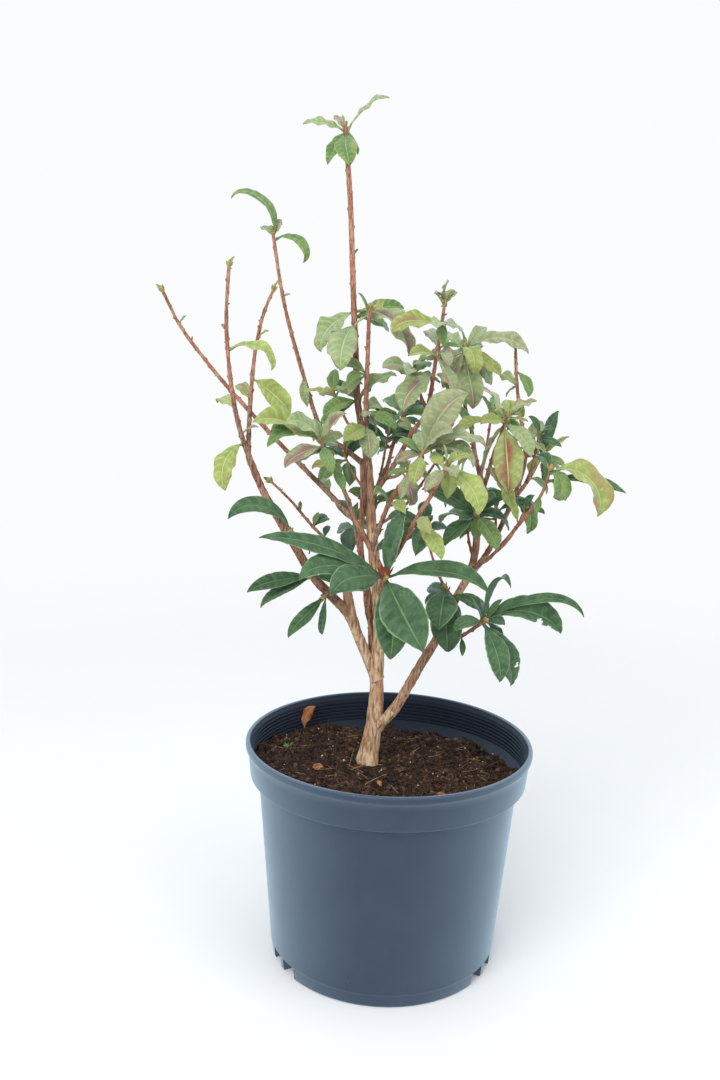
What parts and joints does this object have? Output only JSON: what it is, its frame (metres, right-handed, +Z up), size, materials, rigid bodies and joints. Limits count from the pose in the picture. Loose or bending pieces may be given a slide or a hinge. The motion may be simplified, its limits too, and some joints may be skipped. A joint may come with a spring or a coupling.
{
  "type": "potted azalea shrub",
  "caption": "Young azalea shrub with an open, twiggy crown of whorled leaves on red-brown shoots, standing in a round plastic nursery pot filled with peaty soil.",
  "frame": {"origin": "centre of the pot's flat underside, on the ground", "axes": "+Z up along the pot's axis, the shrub's front towards -Y, its right towards +X"},
  "size_m": [0.3387, 0.22, 0.6418],
  "materials": {
    "pot": "matte",
    "soil": "rough",
    "bark": "rough",
    "foliage": "satin"
  },
  "bodies": {
    "root": {"pot": "pot", "soil": "soil", "trunk": "bark", "bough_left": "bark", "bough_left_inner": "bark", "bough_right": "bark", "bough_right_back": "bark", "bough_front": "bark", "foliage_leader": "foliage", "foliage_second_leader": "foliage", "foliage_left_leader": "foliage", "foliage_twin_left": "foliage", "foliage_twin_right": "foliage", "foliage_left_fore": "foliage", "foliage_left_low": "foliage", "foliage_left_foot": "foliage", "foliage_left_inner": "foliage", "foliage_far_left": "foliage", "foliage_centre_left": "foliage", "foliage_front_right": "foliage", "foliage_centre_right": "foliage", "foliage_centre_low": "foliage", "foliage_tall_right": "foliage", "foliage_back_centre": "foliage", "foliage_back_low": "foliage", "foliage_upper_right": "foliage", "foliage_right_inner": "foliage", "foliage_right_mid": "foliage", "foliage_right_fork": "foliage", "foliage_right_tall": "foliage", "foliage_right_rear": "foliage", "foliage_right_out": "foliage", "foliage_right_low": "foliage"}
  },
  "joints": []
}
